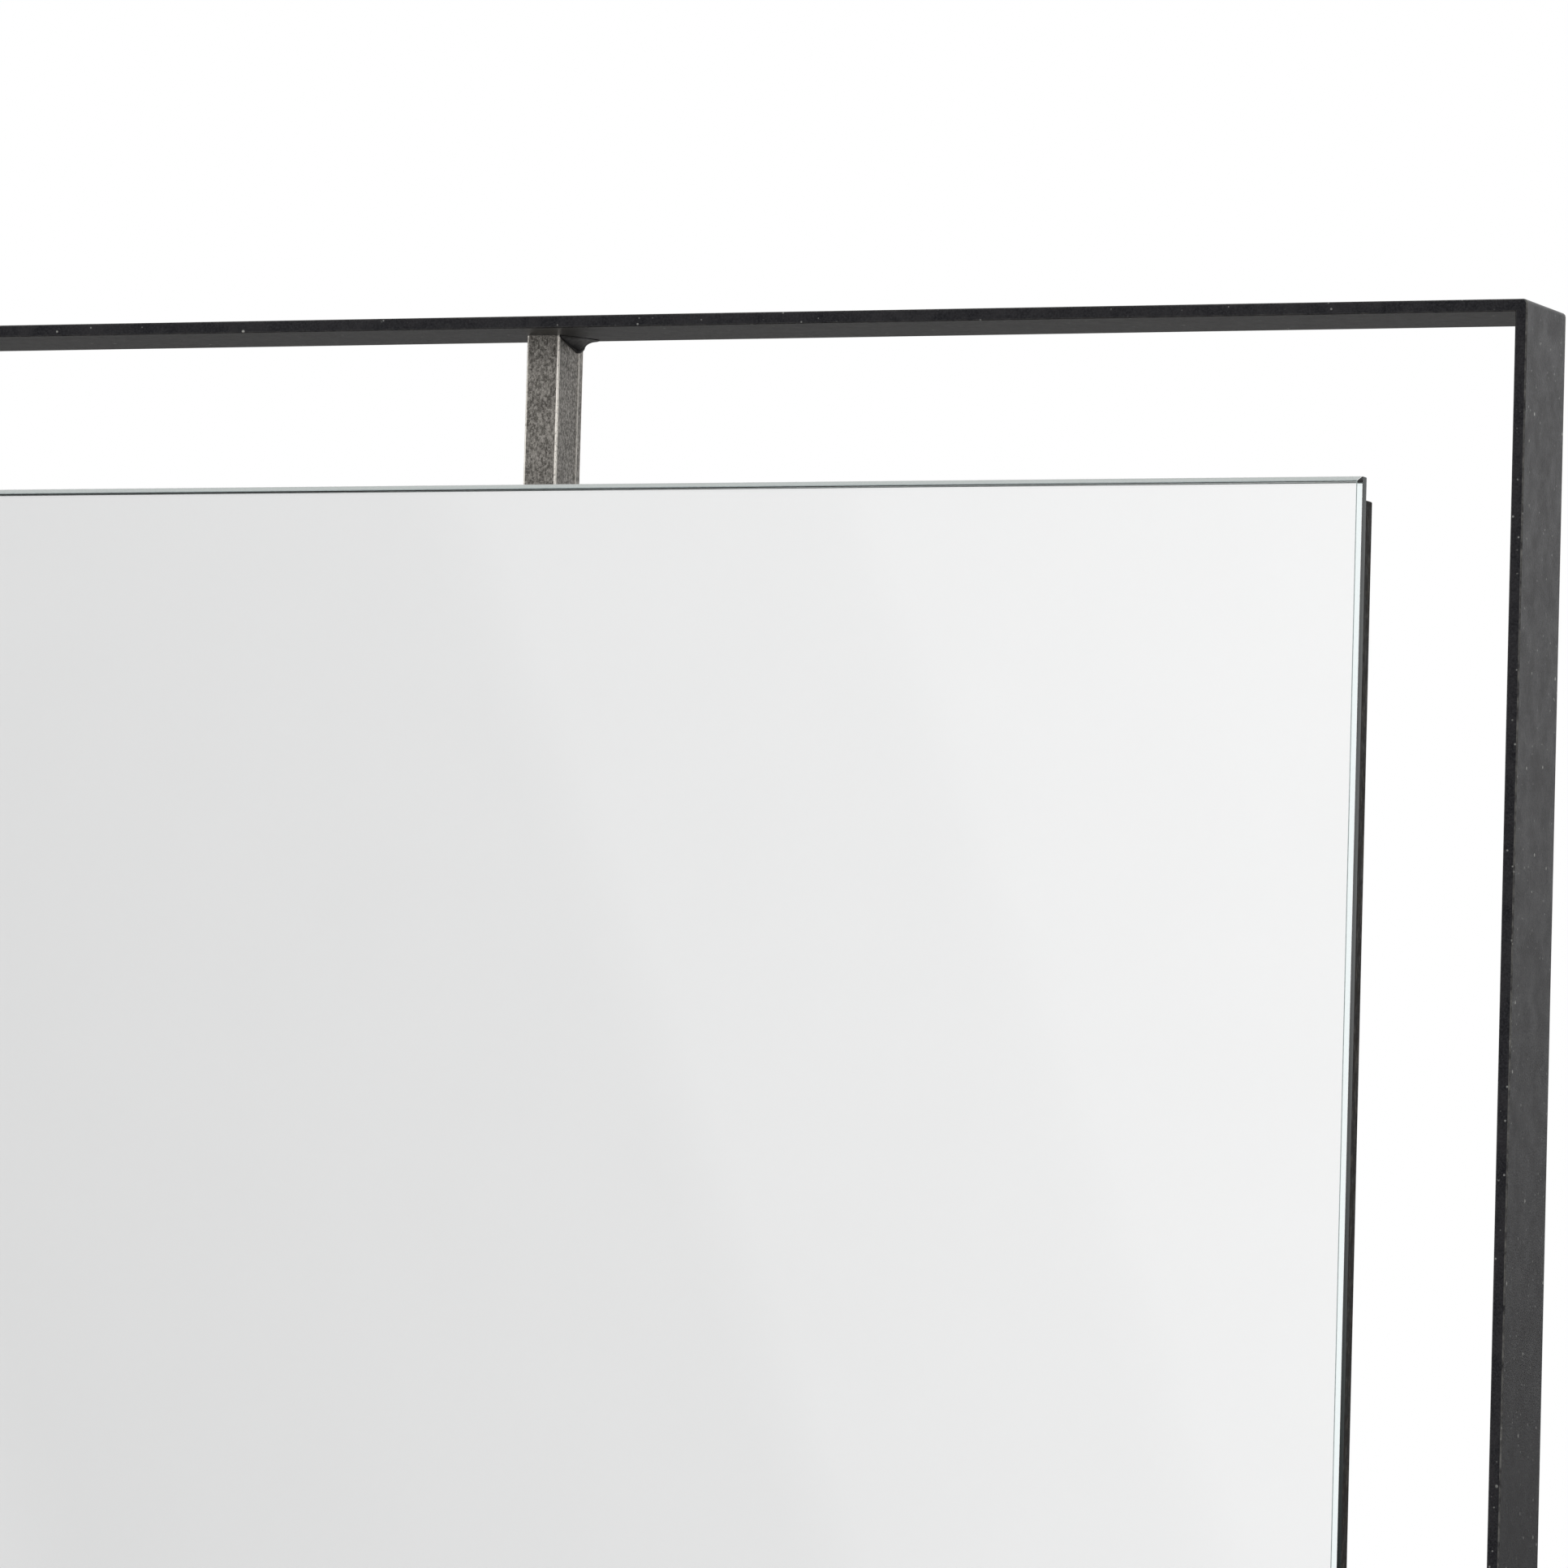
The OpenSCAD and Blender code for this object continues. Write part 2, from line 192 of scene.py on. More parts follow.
def tube_steel(along):
    """Cold-drawn mild-steel tube, oiled and browned: a dull oxide skin, dark, mottled and scratched."""
    mat, tree, shader = new_finish("oiled_steel_tube_along_" + along.lower(),
                                   **{"Metallic": 0.15, "Specular IOR Level": 0.12})
    even = stretched(tree, None, 1)
    mottle = spread(tree, grain(tree, even, 3.4, 5.0, 0.8), 0.4, 0.6)
    scratch = spread(tree, grain(tree, stretched(tree, along, 6), 0.9, 4.0, 0.75), 0.52, 0.68)
    colour = blended(tree, mottle, "0e1011", "251f1a")
    colour = blended(tree, scratch, colour, "5d5951")
    # A little lighter along the rounded edges: rubbed metal, and a painted highlight.
    colour = blended(tree, rubbed_edge_and_highlight(tree, even, 2.0, 0.6, 0.8), colour, "2b2a28")
    tree.links.new(colour, shader.inputs["Base Color"])
    tree.links.new(spread(tree, mottle, 0, 1, 0.5, 0.66), shader.inputs["Roughness"])
    dented(tree, shader, scratch, 0.05, 0.7)
    return mat


def fibreboard():
    """Raw medium-density fibreboard: dull tan, with fine felted fibres."""
    mat, tree, shader = new_finish("raw_fibreboard", **{"Roughness": 0.85, "Specular IOR Level": 0.3})
    place = stretched(tree, "X", 3)
    fibre = grain(tree, place, 0.9, 5.0, 0.75)
    colour = blended(tree, spread(tree, fibre, 0.3, 0.7), "8f6c46", "b28e62")
    colour = blended(tree, spread(tree, grain(tree, place, 60, 2.0), 0.4, 0.7), colour, "9d7a50")
    tree.links.new(colour, shader.inputs["Base Color"])
    dented(tree, shader, fibre, 0.08, 0.7)
    return mat


def bright_zinc():
    """Zinc-plated screw: pale silver with a faint yellow cast and small flaws in the plate."""
    mat, tree, shader = new_finish("bright_zinc_plate", Metallic=1.0)
    place = stretched(tree, None, 1)
    patch = spread(tree, grain(tree, place, 1.5), 0.35, 0.65)
    tree.links.new(blended(tree, patch, "b9bab4", "cfcdc0"), shader.inputs["Base Color"])
    tree.links.new(spread(tree, patch, 0, 1, 0.22, 0.36), shader.inputs["Roughness"])
    dented(tree, shader, grain(tree, place, 0.3), 0.02, 0.5)
    return mat


def soft_solid(name, dark, light, rough, size_mm, depth_mm):
    """Foam, mastic or rubber: a dull, evenly pitted body."""
    mat, tree, shader = new_finish(name, Roughness=rough)
    place = stretched(tree, None, 1)
    pits = grain(tree, place, size_mm, 4.0, 0.7)
    tree.links.new(blended(tree, spread(tree, pits, 0.3, 0.7), dark, light), shader.inputs["Base Color"])
    dented(tree, shader, pits, depth_mm, 0.8)
    return mat


THREAD_PITCH = 3 * MM
WAVE_SCALE = 3.2                    # the wave node's own bands per unit of scale


def backing_film():
    """Polythene safety film with a crossed reinforcing weave, about 3 mm between threads."""
    mat, tree, shader = new_finish("woven_safety_film", Roughness=0.35)
    place = stretched(tree, None, 1)
    threads = [add(tree, "ShaderNodeTexWave", {"Scale": 1 / (THREAD_PITCH * WAVE_SCALE)}, {"Vector": place},
                   bands_direction=axis).outputs["Fac"] for axis in ("X", "Z")]
    weave = add(tree, "ShaderNodeMath", links={0: threads[0], 1: threads[1]}, operation="MAXIMUM").outputs[0]
    tree.links.new(blended(tree, weave, "b4babd", "c9cfd1"), shader.inputs["Base Color"])
    dented(tree, shader, weave, 0.05, 0.6)
    return mat


def mirror_silver():
    """Silver bonded to the glass: an almost perfect, cool-white reflector with a trace of unevenness."""
    mat, tree, shader = new_finish("bonded_silver", Metallic=1.0)
    haze = grain(tree, stretched(tree, None, 1), 40, 3.0)
    tree.links.new(blended(tree, haze, "f7f7f7", "f9f9f9"), shader.inputs["Base Color"])
    tree.links.new(spread(tree, haze, 0.3, 0.7, 0.0, 0.012), shader.inputs["Roughness"])
    return mat


def silver_back():
    """Grey backing paint rolled over the silver and copper."""
    mat, tree, shader = new_finish("mirror_backing_paint", Roughness=0.5)
    roll = grain(tree, stretched(tree, "Z", 4), 1.2, 3.0)
    tree.links.new(blended(tree, roll, "4f5558", "5c6265"), shader.inputs["Base Color"])
    dented(tree, shader, roll, 0.02, 0.5)
    return mat


def clear_float_glass():
    """Clear float glass: colourless through its face, faintly green, with the polisher's fine lines."""
    mat, tree, shader = new_finish("clear_float_glass", **{"Transmission Weight": 1.0, "IOR": 1.52})
    lines = grain(tree, stretched(tree, None, 1), 0.5, 2.0)
    tree.links.new(blended(tree, lines, "fcfdfd", "fefefe"), shader.inputs["Base Color"])
    tree.links.new(spread(tree, lines, 0.3, 0.7, 0.0, 0.01), shader.inputs["Roughness"])
    return mat


def polished_glass_edge():
    """The glass's flat edge: light caught inside the sheet turns it a deep grey green."""
    mat, tree, shader = new_finish("polished_glass_edge",
                                   **{"IOR": 1.52, "Roughness": 0.12, "Specular IOR Level": 0.12})
    lines = grain(tree, stretched(tree, "Z", 12), 1.2, 3.0)
    colour = blended(tree, spread(tree, lines, 0.3, 0.7), "111b1b", "263635")
    tree.links.new(colour, shader.inputs["Base Color"])
    dented(tree, shader, lines, 0.01, 0.4)
    return mat


def polished_arris():
    """The glass's polished arris: clear, with the faint blue green of a long path through the sheet."""
    mat, tree, shader = new_finish("polished_glass_arris", **{"Transmission Weight": 1.0, "IOR": 1.52})
    lines = grain(tree, stretched(tree, None, 1), 0.6, 2.0)
    tree.links.new(blended(tree, lines, "e4f4f4", "edfafa"), shader.inputs["Base Color"])
    tree.links.new(spread(tree, lines, 0.3, 0.7, 0.01, 0.05), shader.inputs["Roughness"])
    return mat


def arris_line():
    """The thin line where arris meets face, left by the last wheel: a little grey, not quite clear."""
    mat, tree, shader = new_finish("ground_line_of_the_arris", **{"IOR": 1.52, "Roughness": 0.35})
    lines = grain(tree, stretched(tree, None, 1), 1.0, 3.0)
    colour = blended(tree, spread(tree, lines, 0.3, 0.7), "98a4a4", "b2bebe")
    tree.links.new(colour, shader.inputs["Base Color"])
    dented(tree, shader, lines, 0.01, 0.4)
    return mat


def mill_aluminium():
    """Extruded aluminium as it leaves the die: pale grey, with fine lines drawn along its length."""
    mat, tree, shader = new_finish("mill_finish_aluminium", Metallic=1.0)
    lines = grain(tree, stretched(tree, "X", 40), 0.35, 4.0, 0.7)
    colour = blended(tree, spread(tree, lines, 0.3, 0.7), "a9abad", "c4c6c8")
    tree.links.new(colour, shader.inputs["Base Color"])
    tree.links.new(spread(tree, lines, 0.3, 0.7, 0.28, 0.42), shader.inputs["Roughness"])
    dented(tree, shader, lines, 0.03, 0.6)
    return mat


# ---------------------------------------------------------------- modelling

def finished(name, bm, finishes, nodes, body=ASSEMBLY, turn=None):
    """Makes the mesh a piece that stands for its CAD nodes and rides on their body."""
    if turn is not None:
        bmesh.ops.transform(bm, matrix=turn, verts=bm.verts)
    bmesh.ops.recalc_face_normals(bm, faces=bm.faces)
    mesh = bpy.data.meshes.new(name)
    bm.to_mesh(mesh)
    bm.free()
    mesh.shade_smooth()
    mesh.set_sharp_from_angle(angle=math.radians(50))
    for finish in finishes:
        mesh.materials.append(finish)
    piece = bpy.data.objects.new(name, mesh)
    bpy.context.scene.collection.objects.link(piece)
    even = piece.modifiers.new("even_shading", "WEIGHTED_NORMAL")
    even.keep_sharp = True
    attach(piece, body)
    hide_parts(*nodes)
    return piece


def rounded(bm, edges, radius, segments):
    """Rounds edges, and returns the new faces, for the caller to mark with edge wear and painted highlight.
    """
    made = bmesh.ops.bevel(bm, geom=list(edges), offset=radius, affect="EDGES", segments=segments,
                           profile=0.5, material=-1, clamp_overlap=True)
    return made["faces"]


def gather(bm, part):
    """Adds one mesh under construction to another, and frees it."""
    scratch = bpy.data.meshes.new("scratch")
    part.to_mesh(scratch)
    part.free()
    bm.from_mesh(scratch)
    bpy.data.meshes.remove(scratch)


def mark_wear_and_highlight(bm, faces, wear_and_highlight=lambda face: 1.0):
    """Writes the edge attribute for rubbed metal and painted highlight: what the given function says on the
    given faces, and 0 elsewhere.
    """
    layer = bm.loops.layers.float.new("edge_wear_and_highlight")
    for face in faces:
        if face.is_valid:
            for loop in face.loops:
                loop[layer] = wear_and_highlight(face)


def sharp_edges(bm, least_deg=30):
    """Edges between two faces that turn by more than least_deg."""
    return [e for e in bm.edges if len(e.link_faces) == 2 and e.calc_face_angle() > math.radians(least_deg)]


def true_faced(bm):
    """Merges loose triangles to true faces."""
    bmesh.ops.remove_doubles(bm, verts=bm.verts, dist=0.002 * MM)
    bmesh.ops.dissolve_limit(bm, angle_limit=math.radians(1), verts=bm.verts, edges=bm.edges)


def node_copy(node):
    """A CAD node's shape with true faces, no UV map and one finish."""
    bm = bmesh.new()
    bm.from_mesh(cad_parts[node].data)
    true_faced(bm)
    for layer in list(bm.loops.layers.uv):
        bm.loops.layers.uv.remove(layer)
    for face in bm.faces:
        face.material_index = 0
    return bm


def softened(node, finishes, radius_mm, segments=2, front_back_mm=0.0):
    """A CAD node with its edges rounded.
    front_back_mm draws the front face back, so that it doesn't lie in its neighbour's rear face."""
    bm = node_copy(node)
    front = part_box(node)[0].y
    for vert in bm.verts:
        if vert.co.y < front + 0.01 * MM:
            vert.co.y += front_back_mm * MM
    mark_wear_and_highlight(bm, rounded(bm, sharp_edges(bm), radius_mm * MM, segments))
    return finished(node + "_finished", bm, finishes, [node])


RAIL_ARRIS = 0.3 * MM


def hooked_rail(plate, lip, finish, body):
    """One extrusion made from the two CAD nodes that stand for it, with no seam where they meet."""
    plate_low, plate_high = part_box(plate)
    lip_low, lip_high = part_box(lip)
    lip_is_up = lip_high.z > plate_high.z
    jog_end = plate_high.z if lip_is_up else plate_low.z
    meeting = lip_high.y if lip_low.y < plate_low.y else lip_low.y
    bm = node_copy(plate)
    hook = node_copy(lip)
    geom = list(hook.verts) + list(hook.edges) + list(hook.faces)
    bmesh.ops.bisect_plane(hook, geom=geom, dist=0.001 * MM, plane_co=(0, 0, jog_end), plane_no=(0, 0, 1))
    gather(bm, hook)

    def is_inside(face):
        middle = face.calc_center_median()
        past_jog = middle.z > jog_end if lip_is_up else middle.z < jog_end
        return abs(middle.y - meeting) < 0.01 * MM and abs(face.normal.y) > 0.99 and not past_jog

    inside = [face for face in bm.faces if is_inside(face)]
    bmesh.ops.delete(bm, geom=inside, context="FACES")
    true_faced(bm)
    mark_wear_and_highlight(bm, rounded(bm, sharp_edges(bm), RAIL_ARRIS, 2))
    finished(plate + "_extrusion", bm, [finish], [plate, lip], body)


def is_along(edge, axis):
    """Whether an edge runs along an axis, give or take a few degrees."""
    a, b = edge.verts
    return (b.co - a.co).normalized()["xyz".index(axis)] ** 2 > 0.99


def ring(low, high, thick, arris, corner, segments):
    """A rectangular hoop in the X and Z directions, thick inwards, with rounded outer corners and arrises.
    Its arrises carry rubbed metal and a painted highlight; the outer arrises of its uprights carry most, as
    hands rub them and as the painted highlight runs along them."""
    bm = bmesh.new()
    size = high - low
    bmesh.ops.create_grid(bm, x_segments=1, y_segments=1, size=0.5)
    bmesh.ops.scale(bm, vec=(size.x, size.z, 1), verts=bm.verts)
    bmesh.ops.rotate(bm, matrix=Matrix.Rotation(math.radians(90), 3, "X"), verts=bm.verts)
    mid = (low + high) / 2
    bmesh.ops.translate(bm, vec=(mid.x, low.y, mid.z), verts=bm.verts)
    inner = list(bm.faces)
    bmesh.ops.inset_region(bm, faces=inner, thickness=thick, use_boundary=True, use_even_offset=True)
    bmesh.ops.delete(bm, geom=inner, context="FACES")
    made = bmesh.ops.extrude_face_region(bm, geom=list(bm.faces))
    verts = [v for v in made["geom"] if isinstance(v, bmesh.types.BMVert)]
    bmesh.ops.translate(bm, vec=(0, size.y, 0), verts=verts)
    bmesh.ops.recalc_face_normals(bm, faces=bm.faces)
    outer_corners = [e for e in sharp_edges(bm) if is_along(e, "y")
                     and abs(e.verts[0].co.x - mid.x) > size.x / 2 - thick / 2]
    rounded(bm, outer_corners, corner, 3)
    worn_and_highlit = rounded(bm, [e for e in sharp_edges(bm) if not is_along(e, "y")], arris, segments)

    # Full edge mark, rubbed metal and painted highlight, on the outer arrises of the uprights; a quarter of
    # it elsewhere.
    def wear_and_highlight(face):
        place = face.calc_center_median()
        outer = abs(place.x - mid.x) > size.x / 2 - thick / 4
        return 1.0 if outer else 0.25
    mark_wear_and_highlight(bm, worn_and_highlit, wear_and_highlight)
    return bm


def mitre_planes(side, low, high):
    """The two planes that part one side of a hoop from its neighbours, with normals pointing away from it."""
    planes = []
    for way in (-1, 1):
        if side in ("top", "bottom"):
            rise = 1 if side == "top" else -1
            corner = Vector((high.x if way > 0 else low.x, 0, high.z if rise > 0 else low.z))
            planes.append((corner, Vector((way, 0, -rise)).normalized()))
        else:
            out = 1 if side == "right" else -1
            corner = Vector((high.x if out > 0 else low.x, 0, high.z if way > 0 else low.z))
            planes.append((corner, Vector((-out, 0, way)).normalized()))
    return planes


def cut_side(hoop, side, low, high, hollow=False):
    """One mitred side of a hoop, with its two ends closed."""
    bm = hoop.copy()
    planes = mitre_planes(side, low, high)
    near = 0.002 * MM
    for corner, normal in planes:
        geom = list(bm.verts) + list(bm.edges) + list(bm.faces)
        bmesh.ops.bisect_plane(bm, geom=geom, dist=0.001 * MM, plane_co=corner, plane_no=normal,
                               clear_outer=True)
    for corner, normal in planes:
        rim = [e for e in bm.edges if e.is_boundary
               and all(abs((v.co - corner).dot(normal)) < near for v in e.verts)]
        if hollow:
            bmesh.ops.bridge_loops(bm, edges=rim)
        else:
            bmesh.ops.holes_fill(bm, edges=rim, sides=0)
    return bm


FRAME_LOW = Vector((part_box("frame_left_bar")[0].x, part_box("frame_top_bar")[0].y,
                    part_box("frame_bottom_bar")[0].z))
FRAME_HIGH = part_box("frame_top_bar")[1]
MID_Z = (FRAME_LOW.z + FRAME_HIGH.z) / 2
BAR_THICK = FRAME_HIGH.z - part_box("frame_top_bar")[0].z
TUBE_LOW = Vector((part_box("tube_left")[0].x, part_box("tube_top")[0].y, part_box("tube_bottom")[0].z))
TUBE_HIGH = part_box("tube_top")[1]
TUBE_WIDE = TUBE_HIGH.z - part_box("tube_top")[0].z
TUBE_WALL = 1.5 * MM


def side_turn(side):
    """Turns a shape drawn for the top side, about the frame's middle, to another side."""
    return Matrix.Translation((0, 0, MID_Z)) @ Matrix.Rotation(math.radians(-90 * SIDES.index(side)), 4, "Y")


def box_from_side(node, side):
    """A node's box as the top side would see it."""
    back = side_turn(side).inverted()
    ends = [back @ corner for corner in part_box(node)]
    return (Vector([min(a, b) for a, b in zip(*ends)]), Vector([max(a, b) for a, b in zip(*ends)]))


def outer_frame(finish):
    """Four mitred flat bars, rubbed round at their outer corners."""
    hoop = ring(FRAME_LOW, FRAME_HIGH, BAR_THICK, arris=0.5 * MM, corner=1.4 * MM, segments=3)
    for side in SIDES:
        bm = cut_side(hoop, side, FRAME_LOW, FRAME_HIGH)
        finished(f"bar_{side}", bm, [finish], [f"frame_{side}_bar"])
    hoop.free()


def sub_frame(finishes):
    """Mitred square tubes, hollow right through, with the drawn tube's round corners."""
    hoop = ring(TUBE_LOW, TUBE_HIGH, TUBE_WIDE, arris=1.8 * MM, corner=0.5 * MM, segments=4)
    step = Vector((TUBE_WALL, TUBE_WALL, TUBE_WALL))
    bore = ring(TUBE_LOW + step, TUBE_HIGH - step, TUBE_WIDE - 2 * TUBE_WALL, arris=0.6 * MM,
                corner=0.3 * MM, segments=4)
    gather(hoop, bore)
    for side in SIDES:
        bm = cut_side(hoop, side, TUBE_LOW, TUBE_HIGH, hollow=True)
        upright = side in ("left", "right")
        finished(f"tube_{side}_drawn", bm, [finishes[upright]], [f"tube_{side}"])
    hoop.free()


STRUT_RIDGE_IN = 4.0 * MM           # the fine mill ridge's distance from the strut's rear
RIDGE_HIGH = 0.2 * MM
RIDGE_HALF = 0.25 * MM              # half of the ridge's flat top
OUTER_WELD_OUT = 7.5 * MM           # along the flat bar
OUTER_WELD_DOWN = 4.4 * MM          # along the strut
OUTER_WELD_FULLEST = 0.74           # where an outer weld is fullest, as a share of its run to the rear
INNER_WELD_LEG = 3 * MM
WELD_TOE = 0.06                     # a weld's thickness at its thin edges, as a share of its size
WELD_FACETS = 10                    # across a weld's hollow face
OUTER_WELD_STEPS = 27               # along a weld
INNER_WELD_STEPS = 48


def strut(side, finishes):
    """Flat bar on edge, its front corners rubbed round, a fine mill ridge along each side near the rear.
    Corners and ridges carry rubbed metal and a painted highlight.
    """
    low, high = box_from_side(f"{side}_strut", side)
    half = high.x
    face = half - RIDGE_HIGH
    ridge = high.y - STRUT_RIDGE_IN
    outline = [(face, low.y), (face, ridge - 2 * RIDGE_HALF), (half, ridge - RIDGE_HALF),
               (half, ridge + RIDGE_HALF), (face, ridge + 2 * RIDGE_HALF), (face, high.y)]
    outline += [(-x, y) for x, y in reversed(outline)]
    bm = bmesh.new()
    base = bm.faces.new([bm.verts.new((x, y, low.z)) for x, y in outline])
    made = bmesh.ops.extrude_face_region(bm, geom=[base])
    tops = [v for v in made["geom"] if isinstance(v, bmesh.types.BMVert)]
    bmesh.ops.translate(bm, vec=(0, 0, high.z - low.z), verts=tops)
    bmesh.ops.recalc_face_normals(bm, faces=bm.faces)
    corners = [e for e in sharp_edges(bm, 60) if is_along(e, "z")]
    worn_and_highlit = rounded(bm, corners, 0.7 * MM, 3)
    worn_and_highlit += [f for f in bm.faces if abs(f.calc_center_median().y - ridge) < 1.6 * RIDGE_HALF
             and abs(f.normal.z) < 0.5]

    # The ridges take a weaker edge mark than the corners: a fainter painted highlight, partly rubbed metal.
    def wear_and_highlight(face):
        on_ridge = abs(face.calc_center_median().y - ridge) < 2 * RIDGE_HALF
        return 0.45 if on_ridge else 1.0
    mark_wear_and_highlight(bm, worn_and_highlit, wear_and_highlight)
    upright = side in ("top", "bottom")
    finished(f"strut_{side}", bm, [finishes[upright]], [f"{side}_strut"],
             turn=side_turn(side))


def fillet(bm, corner, out, down, y_front, y_rear, steps, growth, way=1):
    """A hollow-faced weld drawn from front to rear; growth gives its size at each share of the way."""
    points = [(0, 0), (1, 0)]
    for i in range(WELD_FACETS + 1):
        a = math.radians(90 * i / WELD_FACETS)
        points.append((1 - (1 - WELD_TOE) * math.sin(a), 1 - (1 - WELD_TOE) * math.cos(a)))
    points[2] = (1, WELD_TOE)
    points.append((0, 1))
    verts = [bm.verts.new((corner.x + way * out * x * growth(0), y_front, corner.z - down * z * growth(0)))
             for x, z in points]
    face = bm.faces.new(verts)
    base = Vector((corner.x, 0, corner.z))
    for i in range(1, steps + 1):
        made = bmesh.ops.extrude_face_region(bm, geom=[face])
        rim = [v for v in made["geom"] if isinstance(v, bmesh.types.BMVert)]
        grow = growth(i / steps) / growth((i - 1) / steps)
        space = Matrix.Translation(-base)
        bmesh.ops.translate(bm, vec=(0, (y_rear - y_front) / steps, 0), verts=rim)
        bmesh.ops.scale(bm, vec=(grow, 1, grow), space=space, verts=rim)
        old = face
        face = [f for f in made["geom"] if isinstance(f, bmesh.types.BMFace)][0]
        if i > 1:
            bmesh.ops.delete(bm, geom=[old], context="FACES_ONLY")


def outer_welds(finish):
    """One dressed weld on the same side of every strut. It grows towards the rear, and its end falls away."""
    def growth(share):
        if share < OUTER_WELD_FULLEST:
            return 0.1 + 0.9 * (share / OUTER_WELD_FULLEST) ** 0.85
        return 1 - 0.42 * ((share - OUTER_WELD_FULLEST) / (1 - OUTER_WELD_FULLEST)) ** 1.6
    bm = bmesh.new()
    for side in SIDES:
        low, high = box_from_side(f"{side}_strut", side)
        part = bmesh.new()
        corner = Vector((high.x - RIDGE_HIGH, 0, high.z))
        fillet(part, corner, OUTER_WELD_OUT, OUTER_WELD_DOWN, low.y, high.y, OUTER_WELD_STEPS, growth)
        bmesh.ops.transform(part, matrix=side_turn(side), verts=part.verts)
        gather(bm, part)
    finished("strut_welds_outer", bm, [finish], ["outer_welds"])


def inner_welds(finish):
    """Small rippled welds, two on every strut, where it meets the sub-frame."""
    def growth(share):
        return 0.82 + 0.16 * abs(math.sin(share * math.pi * 8))
    bm = bmesh.new()
    for side in SIDES:
        low, high = box_from_side(f"{side}_strut", side)
        tube_low, tube_high = box_from_side(f"tube_{side}", side)
        for way in (-1, 1):
            part = bmesh.new()
            corner = Vector((way * (high.x - RIDGE_HIGH), 0, tube_high.z))
            fillet(part, corner, INNER_WELD_LEG, -INNER_WELD_LEG, low.y, tube_high.y, INNER_WELD_STEPS,
                   growth, way)
            bmesh.ops.transform(part, matrix=side_turn(side), verts=part.verts)
            gather(bm, part)
    finished("strut_welds_inner", bm, [finish], ["inner_welds"])


def mirror_glass(finishes):
    """The sheet: clear face, silvered rear, green flat edges, polished arrises and ground lines."""
    piece = softened("mirror_glass", finishes, radius_mm=0.16, segments=1)
    clear, silver, edge, arris, line = range(5)
    front, rear = (corner.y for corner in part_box("mirror_glass"))
    arris_tilt = math.cos(math.radians(45))
    for face in piece.data.polygons:
        lean = abs(face.normal.y)
        if face.normal.y > 0.99 and abs(face.center.y - rear) < 0.02 * MM:
            face.material_index = silver
        elif lean < 0.05:
            face.material_index = edge
        elif face.normal.y < 0 and abs(lean - arris_tilt) < 0.05:
            face.material_index = arris
        elif lean < 0.99 and face.center.y - front < 0.2 * MM:
            face.material_index = line
        else:
            face.material_index = clear
    return piece


# ---------------------------------------------------------------- the mirror

black = blackened_steel()
struts = [raw_steel("X"), raw_steel("Z")]
tubes = [tube_steel("X"), tube_steel("Z")]
weld = weld_metal()
zinc = bright_zinc()
aluminium = mill_aluminium()
rubber = soft_solid("moulded_black_rubber", "151515", "202020", 0.7, 0.6, 0.05)
foam = soft_solid("acrylic_foam_tape", "2a2a2b", "3a3a3b", 0.9, 0.5, 0.08)
mastic = soft_solid("mirror_mastic", "c9c3b2", "ddd8c9", 0.6, 3.0, 0.2)

outer_frame(black)
sub_frame(tubes)
for side_name in SIDES:
    strut(side_name, struts)
outer_welds(weld)
inner_welds(weld)
mirror_glass([clear_float_glass(), mirror_silver(), polished_glass_edge(), polished_arris(), arris_line()])

softened("silver_layer", [silver_back()], 0.04, 1, front_back_mm=0.05)
softened("safety_film", [backing_film()], 0.06, 1)
softened("edge_tape", [foam], 0.25)
softened("mastic_pads", [mastic], 0.5)
softened("board_tabs", [tubes[0]], 0.3)
softened("backing_board", [fibreboard()], 0.4)
softened("board_screws", [zinc], 0.5)
softened("cleat_screws", [zinc], 0.5)
softened("bumper_screws", [zinc], 0.5)
softened("wall_bumpers", [rubber], 0.8, 3)
hooked_rail("frame_cleat", "frame_cleat_lip", aluminium, ASSEMBLY)
hooked_rail("wall_rail", "wall_rail_lip", aluminium, RAIL)


# ---------------------------------------------------------------- studio

FLOOR_BELOW = 1.05                  # metres under the frame


def pale_floor():
    """A pale paper disc well below the mirror, out of the main view."""
    bm = bmesh.new()
    bmesh.ops.create_circle(bm, cap_ends=True, radius=6, segments=96)
    bmesh.ops.translate(bm, vec=(0, 0, FRAME_LOW.z - FLOOR_BELOW), verts=bm.verts)
    mesh = bpy.data.meshes.new("pale_floor")
    bm.to_mesh(mesh)
    bm.free()
    mat, tree, shader = new_finish("pale_studio_paper", Roughness=0.9)
    tooth = grain(tree, stretched(tree, None, 1), 3, 3.0)
    tree.links.new(blended(tree, tooth, "d5d4d2", "dbdad8"), shader.inputs["Base Color"])
    mesh.materials.append(mat)
    floor = bpy.data.objects.new("pale_floor", mesh)
    bpy.context.scene.collection.objects.link(floor)


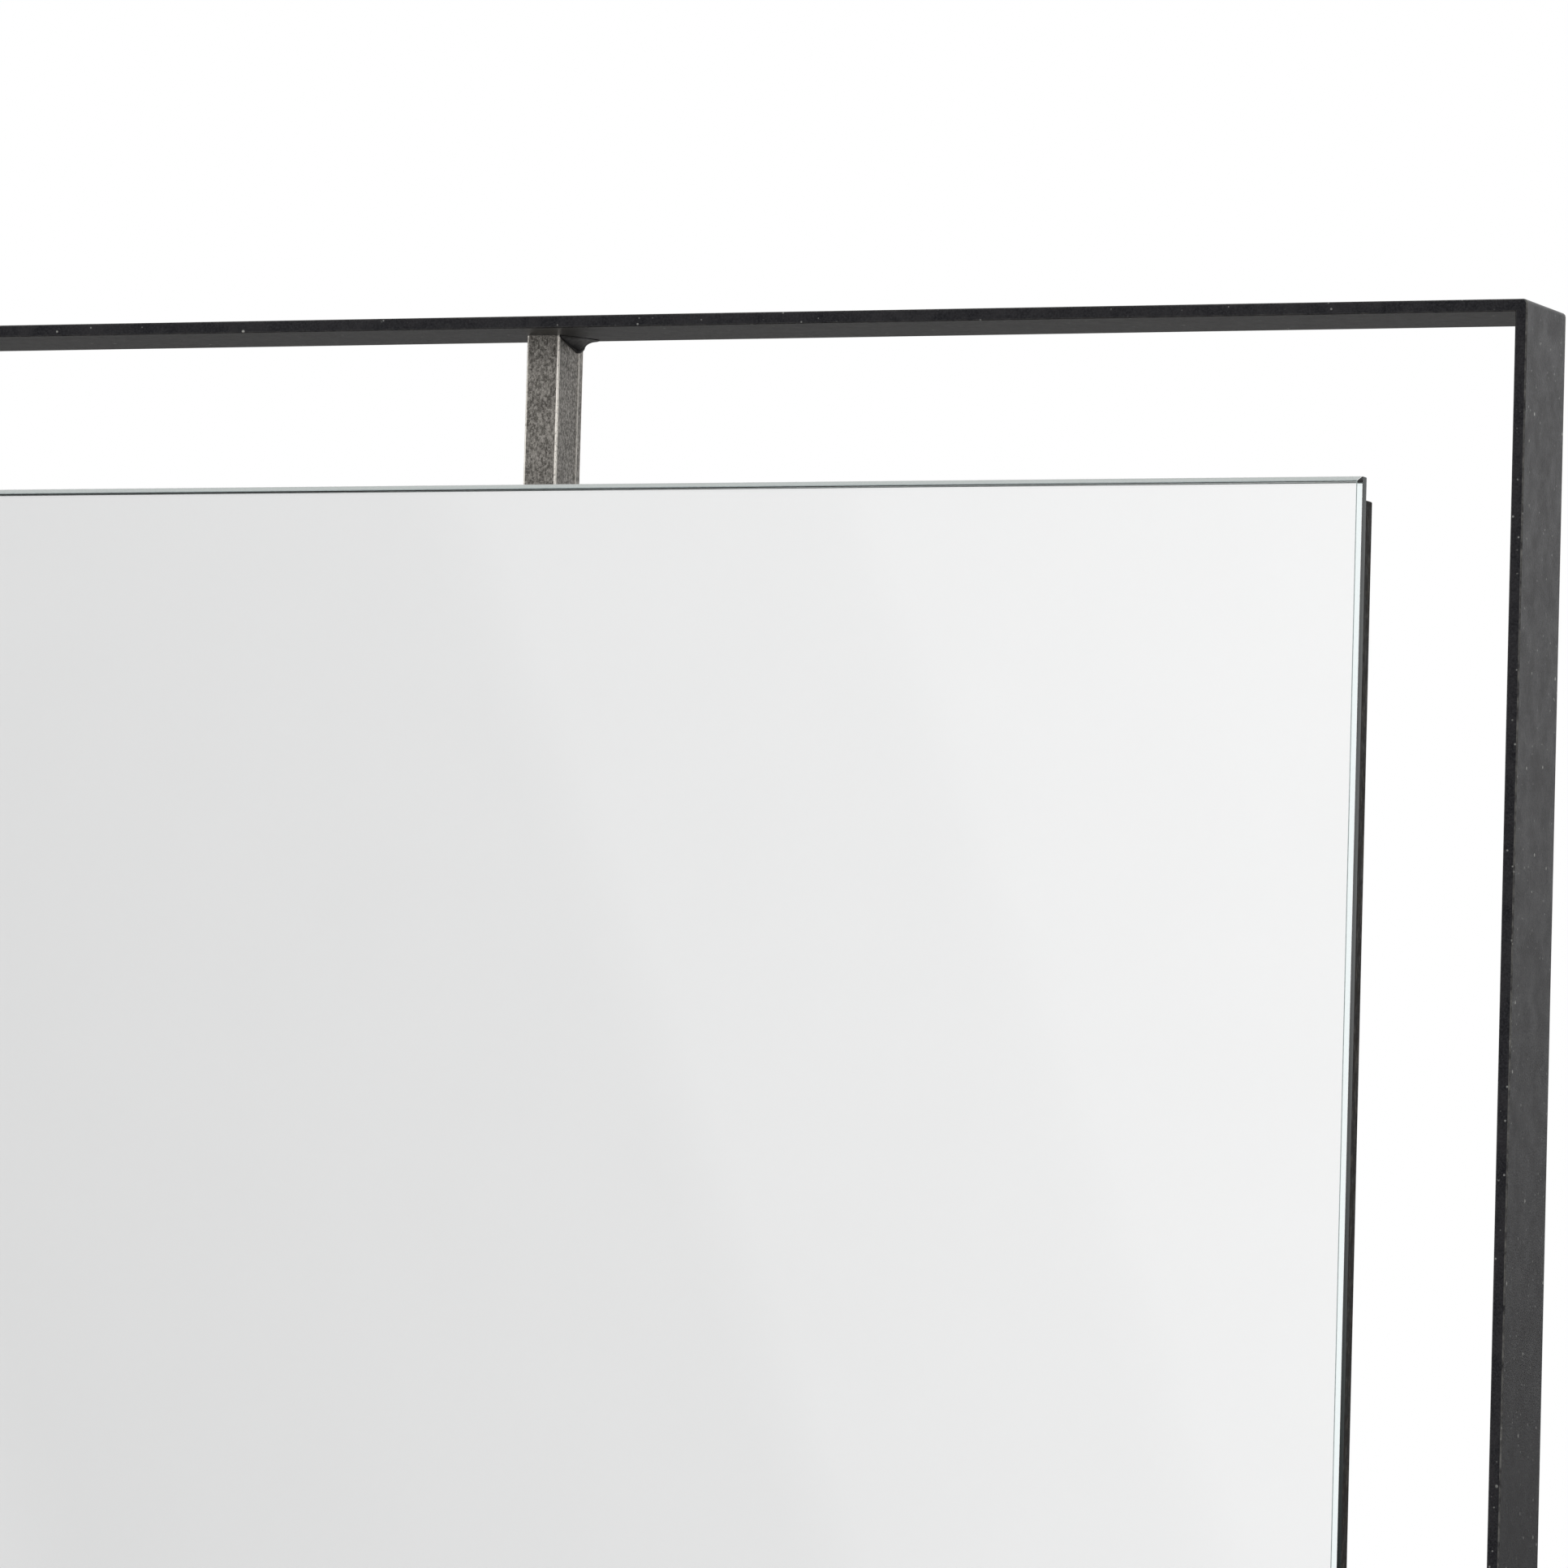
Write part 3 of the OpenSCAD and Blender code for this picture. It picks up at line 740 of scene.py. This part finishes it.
def studio_light():
    """White all round, with a broad, softly banded glow in front for the mirror to show.
    Low down behind it is dark, so that undersides seen from in front stay dark."""
    world = bpy.data.worlds.new("studio")
    world.use_nodes = True
    tree = world.node_tree
    tree.nodes.clear()
    way = add(tree, "ShaderNodeTexCoord").outputs["Generated"]
    slope = add(tree, "ShaderNodeVectorMath", {1: (1.0, 0.0, 0.3515)}, {0: way}, operation="DOT_PRODUCT")
    glow = add(tree, "ShaderNodeValToRGB")
    stops = [(0.0, 1.05), (0.30, 1.05), (0.4441, 0.765), (0.5172, 0.838), (0.5230, 0.873), (0.5570, 0.91),
             (0.5630, 0.94), (0.6126, 0.99), (0.74, 0.92), (0.88, 0.78), (1.0, 0.88)]
    share = add(tree, "ShaderNodeMapRange", {1: -0.9, 2: 0.1}, {0: slope.outputs["Value"]})
    tree.links.new(share.outputs[0], glow.inputs[0])
    points = glow.color_ramp.elements
    while len(points) < len(stops):
        points.new(0.5)
    for point, (spot, tone) in zip(points, stops):
        point.position = spot
        point.color = (tone, tone, tone, 1)
    split = add(tree, "ShaderNodeSeparateXYZ", links={0: way})
    behind = add(tree, "ShaderNodeMapRange", {1: -0.1, 2: 0.2}, {0: split.outputs[1]})
    above = add(tree, "ShaderNodeMapRange", {1: -0.03, 2: 0.04, 3: 0.04, 4: 1.0}, {0: split.outputs[2]})
    tone = add(tree, "ShaderNodeMix", links={0: behind.outputs[0], 6: glow.outputs[0], 7: above.outputs[0]},
               data_type="RGBA")
    lit = add(tree, "ShaderNodeBackground", links={0: tone.outputs[2]})
    seen = add(tree, "ShaderNodeBackground", {0: (1, 1, 1, 1)})
    camera_ray = add(tree, "ShaderNodeLightPath").outputs["Is Camera Ray"]
    both = add(tree, "ShaderNodeMixShader", links={0: camera_ray, 1: lit.outputs[0], 2: seen.outputs[0]})
    add(tree, "ShaderNodeOutputWorld", links={0: both.outputs[0]})
    bpy.context.scene.world = world


CAMERA_PLACE = (1.1863, -2.7084, -0.2150)
CAMERA_TURN = (22.22, 3.37, 1.58)   # degrees left, up and tilted
CAMERA_LENS = 208.7                 # millimetres


def camera():
    """Long lens, from the right and a little below the frame's middle, leaning slightly."""
    yaw, pitch, roll = (math.radians(a) for a in CAMERA_TURN)
    ahead = Vector((-math.sin(yaw) * math.cos(pitch), math.cos(yaw) * math.cos(pitch), math.sin(pitch)))
    level = Vector((math.cos(yaw), math.sin(yaw), 0))
    up = level.cross(ahead)
    across = math.cos(roll) * level + math.sin(roll) * up
    upwards = math.cos(roll) * up - math.sin(roll) * level
    data = bpy.data.cameras.new("camera")
    data.sensor_width = 36
    data.lens = CAMERA_LENS
    data.clip_end = 60
    cam = bpy.data.objects.new("camera", data)
    cam.matrix_world = Matrix.Translation(CAMERA_PLACE) @ Matrix(
        (across, upwards, -ahead)).transposed().to_4x4()
    bpy.context.scene.collection.objects.link(cam)
    bpy.context.scene.camera = cam


pale_floor()
studio_light()
camera()
bpy.context.scene.view_settings.view_transform = "Standard"
